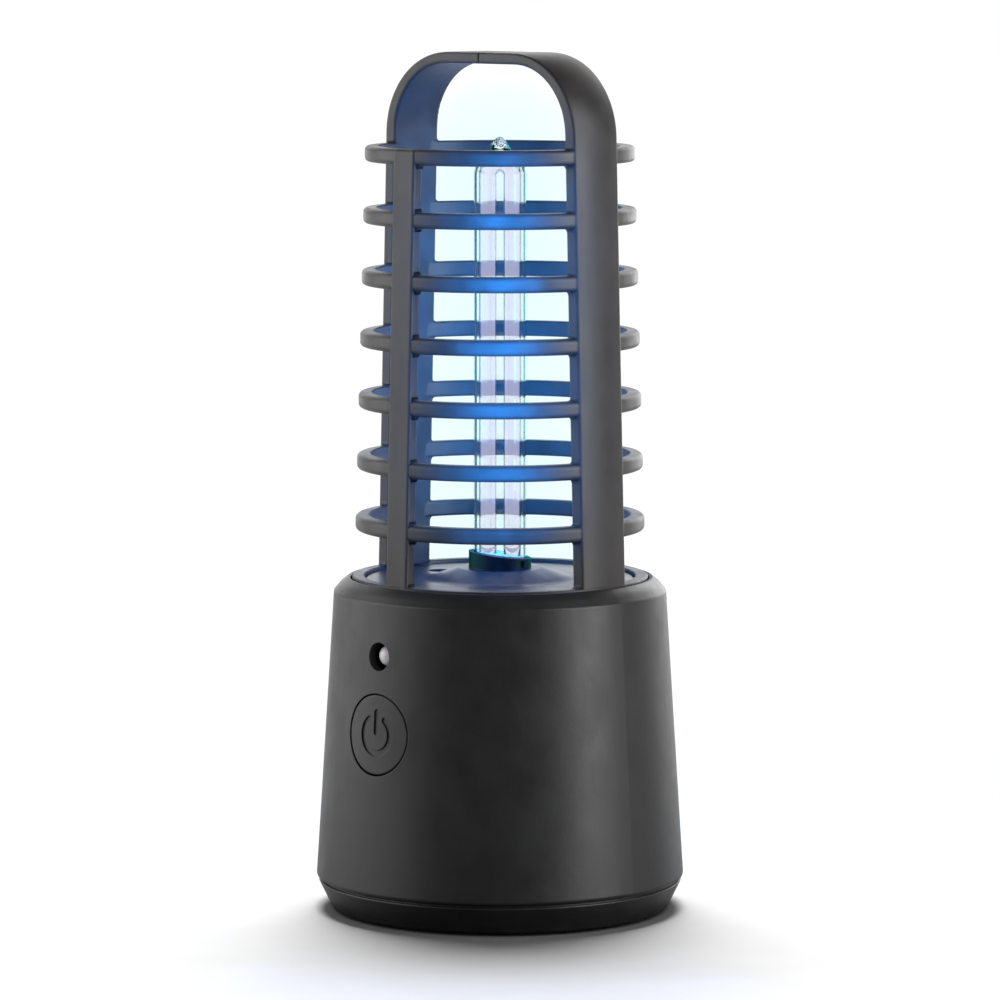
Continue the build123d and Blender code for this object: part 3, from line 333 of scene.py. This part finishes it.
casing_black = moulded_abs("satin_black_abs", "#121213", "#191919", 0.38, 0.50, 0.25)
guard_black = moulded_abs("guard_black_abs", "#211E1D", "#2C2827", 0.38, 0.52, 0.8)
deck_black = moulded_abs("deck_black_abs", "#18181A", "#202124", 0.30, 0.40, 0.2)
assign(casing_black, "base_shell", "bottom_cover", "power_button")
assign(guard_black, "guard_left_half", "guard_right_half")
assign(deck_black, "deck_plate")
assign(black_rubber(), "rubber_feet")
assign(drawn_metal("zinc_plated_steel", "#9A9CA0", "#BDBFC2", 0.28, 0.42, 0.3),
       "cover_screws", "deck_screw", "lamp_holder_screws", "switch_board_screws", "charge_board_screws")
assign(moulded_nylon("heat_resistant_nylon", "#C9C4B4", "#DAD6C8"), "lamp_holder")
assign(moulded_nylon("socket_nylon", "#DCD9CC", "#ECEADF"), "wire_sockets")
assign(moulded_nylon("black_nylon", "#171718", "#202021"), "switch_body", "switch_plunger", "battery_holder")
assign(moulded_nylon("black_chip_epoxy", "#121212", "#1C1C1D"), "charge_chip")
assign(dark_silicone(), "lamp_sleeve")
assign(cement_plug(), "lamp_cement")
assign(drawn_metal("nickel_iron_lead", "#A5A39E", "#BDBBB6", 0.25, 0.4, 0.2), "lamp_leads")
assign(drawn_metal("nickel_strip", "#C2BDB0", "#D8D4C8", 0.25, 0.38, 0.4),
       "battery_contact_low", "battery_contact_high")
assign(drawn_metal("pressed_stainless", "#A9ABAD", "#C6C8CA", 0.22, 0.36, 0.3), "usb_socket")
assign(led_resin(), "indicator_led")
assign(circuit_board(), "switch_board", "driver_board", "charge_board")
assign(shrink_wrap(), "battery_cell")
assign(sintered_ferrite(), "driver_transformer")
assign(capacitor_can(), "driver_capacitors")
assign(transistor_body(), "driver_transistor")
assign(insulation("white_silicone_wire", "#D6D6D2", "#E6E6E3"), "lamp_wires", "switch_wires")
assign(insulation("red_silicone_wire", "#8E1512", "#A82320"), "battery_wires", "charge_wires")


# ---- lamp glass ---------------------------------------------------------------------------------
LAMP_WALL = 0.6 * MM
TUBE_R = 2.1 * MM
TUBE_BORE = 1.72 * MM
GLOW_R = 1.66 * MM
TUBE_OFFSET = 2.8 * MM
TUBE_TURN = math.radians(44.5)
lamp_low, lamp_high = [Vector(corner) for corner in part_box("lamp_envelope")]
tube_low, tube_high = [Vector(corner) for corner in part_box("lamp_tube")]
lamp_r = lamp_high.x
TIP_R = 2.45 * MM               # crinkled seal that stands on the dome
TIP_SHORT = 0.1 * MM            # left free above the seal's last row
dome_middle = lamp_high.z - 8.9 * MM


def placed(name, data):
    """Object of that data, in the scene."""
    thing = bpy.data.objects.new(name, data)
    bpy.context.scene.collection.objects.link(thing)
    return thing


def mesh_piece(name, points, faces, material):
    """Smooth-shaded piece from points and faces."""
    mesh = bpy.data.meshes.new(name)
    mesh.from_pydata([tuple(p) for p in points], [], faces)
    mesh.validate()
    mesh.polygons.foreach_set("use_smooth", [True] * len(mesh.polygons))
    mesh.materials.append(material)
    return placed(name, mesh)


def skin_of_rows(rows, closed_start, closed_end):
    """Points and faces of a skin over rows of points, each row a closed loop."""
    count = len(rows[0])
    points = [p for row in rows for p in row]
    faces = []
    for i in range(len(rows) - 1):
        for j in range(count):
            k = (j + 1) % count
            faces.append((i * count + j, i * count + k, (i + 1) * count + k, (i + 1) * count + j))
    if closed_start:
        faces.append(tuple(reversed(range(count))))
    if closed_end:
        faces.append(tuple(range((len(rows) - 1) * count, len(rows) * count)))
    return points, faces


def jacket_row(radius, height, crinkle=0.0, around=72):
    """Loop of points at a height, folded in and out by the crinkle."""
    row = []
    for j in range(around):
        turn = 2 * math.pi * j / around
        fold = math.sin(3 * turn + 900 * height) + 0.6 * math.sin(7 * turn - 1600 * height)
        x, y = math.cos(turn), math.sin(turn)
        lump = noise.noise(Vector((x, y, height * 900)) * 1.7)
        r = radius * (1 + crinkle * (0.5 * fold + 0.9 * lump))
        row.append(Vector((r * x, r * y, height)))
    return row


def lamp_jacket():
    """Glass jacket: a straight wall, a dome, a crinkled pinched tip, and the bore inside."""
    rows = [jacket_row(lamp_r, lamp_low.z)]
    rows += [jacket_row(lamp_r, lamp_low.z + i / 8 * (dome_middle - lamp_low.z)) for i in range(1, 9)]
    meet = math.asin(TIP_R / lamp_r)
    for i in range(1, 15):
        rise = (math.pi / 2 - meet) * i / 14
        rows.append(jacket_row(lamp_r * math.cos(rise), dome_middle + lamp_r * math.sin(rise)))
    foot = dome_middle + lamp_r * math.cos(meet)
    for i in range(1, 19):
        t = i / 18
        taper = (1 - t ** 2.2) ** 0.5 if t < 1 else 0.05
        radius = TIP_R * (0.46 + 0.54 * (1 - t) ** 0.7) * (0.25 + 0.75 * taper)
        height = foot + t * (lamp_high.z - TIP_SHORT - foot)
        rows.append(jacket_row(radius, height, 0.13 * math.sin(math.pi * t) + 0.03))
    bore = lamp_r - LAMP_WALL
    inside = [jacket_row(bore, lamp_low.z)]
    inside += [jacket_row(bore, lamp_low.z + i / 8 * (dome_middle - lamp_low.z)) for i in range(1, 9)]
    for i in range(1, 13):
        rise = math.pi / 2 * i / 12.3
        inside.append(jacket_row(bore * math.cos(rise), dome_middle + bore * math.sin(rise)))
    points, faces = skin_of_rows(rows, False, True)
    inner_points, inner_faces = skin_of_rows(inside, False, True)
    shift = len(points)
    faces += [tuple(reversed([shift + index for index in face])) for face in inner_faces]
    count = len(rows[0])
    for j in range(count):
        k = (j + 1) % count
        faces.append((k, j, shift + j, shift + k))
    glass = clear_glass("jacket_borosilicate", "#FDFEFF")
    return mesh_piece("lamp_jacket_glass", points + inner_points, faces, glass)


def tube_rows(radius, foot_pinch, around=28):
    """Loops along the narrow upright U, from one foot over the bend to the other foot."""
    bend_z = tube_high.z - TUBE_OFFSET - TUBE_R
    foot = tube_low.z
    stops = []
    for i in range(11):
        stops.append((TUBE_OFFSET, foot + i / 10 * (bend_z - foot), 0.0))
    for i in range(1, 20):
        turn = math.pi * i / 20
        stops.append((TUBE_OFFSET * math.cos(turn), bend_z + TUBE_OFFSET * math.sin(turn), turn))
    for i in range(11):
        stops.append((-TUBE_OFFSET, bend_z - i / 10 * (bend_z - foot), math.pi))
    rows = []
    for index, (across, height, lean) in enumerate(stops):
        r = radius * (foot_pinch if index in (0, len(stops) - 1) else 1.0)
        row = []
        for j in range(around):
            turn = 2 * math.pi * j / around
            out, side = r * math.cos(turn), r * math.sin(turn)
            x = across + out * math.cos(lean)
            z = height + out * math.sin(lean)
            row.append(Vector((x * math.cos(TUBE_TURN) - side * math.sin(TUBE_TURN),
                               x * math.sin(TUBE_TURN) + side * math.cos(TUBE_TURN), z)))
        rows.append(row)
    return rows


def glass_tube():
    """Wall of the discharge tube: outer skin and bore, joined at the two feet."""
    outer = tube_rows(TUBE_R, 0.8)
    bore = tube_rows(TUBE_BORE, 0.8)
    points, faces = skin_of_rows(outer, False, False)
    bore_points, bore_faces = skin_of_rows(bore, False, False)
    shift = len(points)
    faces += [tuple(reversed([shift + index for index in face])) for face in bore_faces]
    count = len(outer[0])
    last = shift - count
    for j in range(count):
        k = (j + 1) % count
        faces.append((k, j, shift + j, shift + k))
        faces.append((last + j, last + k, shift + last + k, shift + last + j))
    glass = clear_glass("tube_borosilicate", "#FBFBFF")
    return mesh_piece("lamp_tube_glass", points + bore_points, faces, glass)


def glowing_core():
    """Glow that fills the bore of the tube."""
    points, faces = skin_of_rows(tube_rows(GLOW_R, 0.6), True, True)
    return mesh_piece("lamp_tube_glow", points, faces, lit_gas())


jacket = lamp_jacket()
tube = glass_tube()
core = glowing_core()
for piece, slot_name in ((jacket, "glass"), (tube, "glass"), (core, "lit_phosphor")):
    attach(piece, "base")
    piece.visible_shadow = False
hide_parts("lamp_envelope")
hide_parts("lamp_tube")


# ---- faint glow in the air round the lamp -------------------------------------------------------
HAZE_R = 24 * MM
HAZE_SHOULDER = lamp_high.z - 14 * MM
HAZE_DOME = 28 * MM
HAZE_DENSITY = 40.0             # per metre


def glow_in_air():
    """Thin pale cyan haze of the lamp's light inside the guard, which fades out above the top ring."""
    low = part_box("deck_plate")[1][2] + 0.2 * MM
    stops = [(HAZE_R, low), (HAZE_R, HAZE_SHOULDER)]
    for i in range(1, 16):
        rise = math.pi / 2 * i / 16
        stops.append((HAZE_R * math.cos(rise), HAZE_SHOULDER + HAZE_DOME * math.sin(rise)))
    rows = [jacket_row(radius, height) for radius, height in stops]
    points, faces = skin_of_rows(rows, True, True)
    material, tree, _, output = new_material("lit_air")
    air = add(tree, "ShaderNodeVolumeAbsorption", {"Color": linear("#F2FEFE"), "Density": HAZE_DENSITY})
    tree.links.new(air.outputs["Volume"], output.inputs["Volume"])
    haze = mesh_piece("lit_air", points, faces, material)
    haze.visible_shadow = haze.visible_diffuse = haze.visible_glossy = False


glow_in_air()


# ---- stage, light and camera --------------------------------------------------------------------
CAMERA_TURN = 44.5            # degrees round from the button side
CAMERA_PITCH = 6.2
CAMERA_FAR = 1.2291
CAMERA_LENS = 192.2
CAMERA_AIM = (0.0, 0.0, 0.0946)
LAMP_BLUE = "#2088F4"
FILL = 0.13                   # brightness of the surroundings, beside 1 for white paper
SUN_STRENGTH = 3.4
SUN_WIDTH = 30                # degrees across, which softens the shadow
SUN_RISE = 69                 # degrees above the floor
LAMP_STEPS = 6
LAMP_STEP_WATTS = 0.1
LAMP_LIT_FROM = 0.088         # foot and length of the lit stretch, in metres
LAMP_LIT_LONG = 0.084
FLOOR_HALF = 6.0


def direction(turn, rise):
    """Unit vector from the object towards a place at that turn and rise, in degrees."""
    a, e = math.radians(turn), math.radians(rise)
    return Vector((math.sin(a) * math.cos(e), -math.cos(a) * math.cos(e), math.sin(e)))


def aimed(thing, back):
    """Turns a camera or a light so that it looks against the given direction."""
    thing.rotation_mode = "QUATERNION"
    thing.rotation_quaternion = (-back).to_track_quat("-Z", "Y")


def make_camera():
    """Long lens, a little above the middle of the object."""
    data = bpy.data.cameras.new("camera")
    data.lens = CAMERA_LENS
    data.sensor_width = 36.0
    data.clip_end = 20.0
    camera = placed("camera", data)
    back = direction(CAMERA_TURN, CAMERA_PITCH)
    camera.location = Vector(CAMERA_AIM) + CAMERA_FAR * back
    aimed(camera, back)
    bpy.context.scene.camera = camera


def soft_box(name, turn, rise, far, width, high, radiance, colour="#FFFFFF", aim=0.09, spread=180):
    """Rectangular light whose face has the given brightness, whatever its size."""
    data = bpy.data.lights.new(name, "AREA")
    data.shape = "RECTANGLE"
    data.size, data.size_y = width, high
    data.energy = radiance * math.pi * width * high
    data.color = linear(colour)[:3]
    data.spread = math.radians(spread)
    light = placed(name, data)
    back = direction(turn, rise)
    light.location = Vector((0, 0, aim)) + far * back
    aimed(light, back)
    light.visible_camera = light.visible_transmission = False
    return light


def seen_directly(tree):
    """1 for what is seen directly or through the glass, and 0 for reflections and stray light."""
    path = add(tree, "ShaderNodeLightPath", {})
    rays = {0: path.outputs["Is Camera Ray"], 1: path.outputs["Is Transmission Ray"]}
    return add(tree, "ShaderNodeMath", {"operation": "MAXIMUM"}, rays)


def make_world():
    """White paper to the eye, and a dim even fill to everything else."""
    world = bpy.data.worlds.new("studio")
    bpy.context.scene.world = world
    world.use_nodes = True
    tree = world.node_tree
    tree.nodes.clear()
    white = add(tree, "ShaderNodeBackground", {"Color": linear("#FFFFFF"), "Strength": 1.0})
    fill = add(tree, "ShaderNodeBackground", {"Color": linear("#FFFFFF"), "Strength": FILL})
    either = add(tree, "ShaderNodeMixShader", {}, {0: seen_directly(tree), 1: fill, 2: white})
    add(tree, "ShaderNodeOutputWorld", {}, {"Surface": either})


def make_floor():
    """White sweep under the object. In reflections it is painted darker in front and pale behind, a painted
    shade that stands in for a dark surround on the camera side.
    """
    mesh = bpy.data.meshes.new("floor")
    corners = [(-1, -1), (1, -1), (1, 1), (-1, 1)]
    mesh.from_pydata([(FLOOR_HALF * x, FLOOR_HALF * y, 0) for x, y in corners], [], [(0, 1, 2, 3)])
    floor = placed("floor", mesh)
    material, tree, place, output = new_material("pale_floor")
    fibre = add(tree, "ShaderNodeTexNoise", cells(25), {"Vector": place})
    tone = add(tree, "ShaderNodeValToRGB", shades("#F3F3F3", "#F6F6F6"), {"Fac": fibre})
    paper = add(tree, "ShaderNodeBsdfDiffuse", {}, {"Color": tone})
    # painted shade: what the object reflects of the floor is darker towards the camera side and pale behind
    product = {"operation": "DOT_PRODUCT", 1: direction(CAMERA_TURN, 0)}
    depth = add(tree, "ShaderNodeVectorMath", product, {0: place}).outputs["Value"]
    behind = add(tree, "ShaderNodeMapRange", span(0.0, 1.0, 0.1, -0.2), {"Value": depth})
    shade = add(tree, "ShaderNodeValToRGB", shades("#8C8C8C", "#F0F0F0", 0.0, 1.0), {"Fac": behind})
    dark = add(tree, "ShaderNodeBsdfDiffuse", {}, {"Color": shade})
    either = add(tree, "ShaderNodeMixShader", {}, {0: seen_directly(tree), 1: dark, 2: paper})
    tree.links.new(either.outputs["Shader"], output.inputs["Surface"])
    mesh.materials.append(material)
    return floor


def linked_to(name, thing, state):
    """Light-linking collection that includes or excludes one thing."""
    group = bpy.data.collections.new(name)
    group.objects.link(thing)
    group.collection_objects[0].light_linking.link_state = state
    return group


def floor_sun():
    """Wide soft sun from behind that lights the floor alone and draws the object's shadow on it."""
    data = bpy.data.lights.new("floor_sun", "SUN")
    data.energy = SUN_STRENGTH
    data.angle = math.radians(SUN_WIDTH)
    light = placed("floor_sun", data)
    aimed(light, direction(CAMERA_TURN + 180, SUN_RISE))
    return light


def lamp_light():
    """Blue light of the lit tube, as a row of small lights along its middle."""
    for i in range(LAMP_STEPS):
        data = bpy.data.lights.new(f"lamp_light_{i}", "POINT")
        data.energy = LAMP_STEP_WATTS
        data.color = linear(LAMP_BLUE)[:3]
        data.shadow_soft_size = 1.5 * MM
        light = placed(f"lamp_light_{i}", data)
        light.location = (0, 0, LAMP_LIT_FROM + (i + 0.5) / LAMP_STEPS * LAMP_LIT_LONG)
        light.visible_camera = light.visible_glossy = light.visible_transmission = False


make_camera()
make_world()
floor = make_floor()
floor_sun().light_linking.receiver_collection = linked_to("floor_only", floor, "INCLUDE")
all_but_floor = linked_to("all_but_floor", floor, "EXCLUDE")
lamp_light()
boxes = [
    soft_box("left_wall", CAMERA_TURN - 92, 6, 0.9, 1.2, 1.2, 2.3, aim=0.12),
    soft_box("right_box", CAMERA_TURN + 62, 6, 0.9, 0.42, 1.1, 8.0),
    soft_box("right_rim", CAMERA_TURN + 144, 8, 0.9, 0.6, 1.0, 2.2),
    soft_box("back_paper", CAMERA_TURN + 180, 16, 1.1, 1.4, 0.9, 1.7),
]
glow = soft_box("lamp_glow", CAMERA_TURN, 0, 0.056, 0.02, 0.086, 40, LAMP_BLUE, aim=0.133, spread=72)
glow.visible_glossy = False
for box in boxes + [glow]:
    box.light_linking.receiver_collection = all_but_floor
bpy.context.scene.view_settings.view_transform = "Standard"
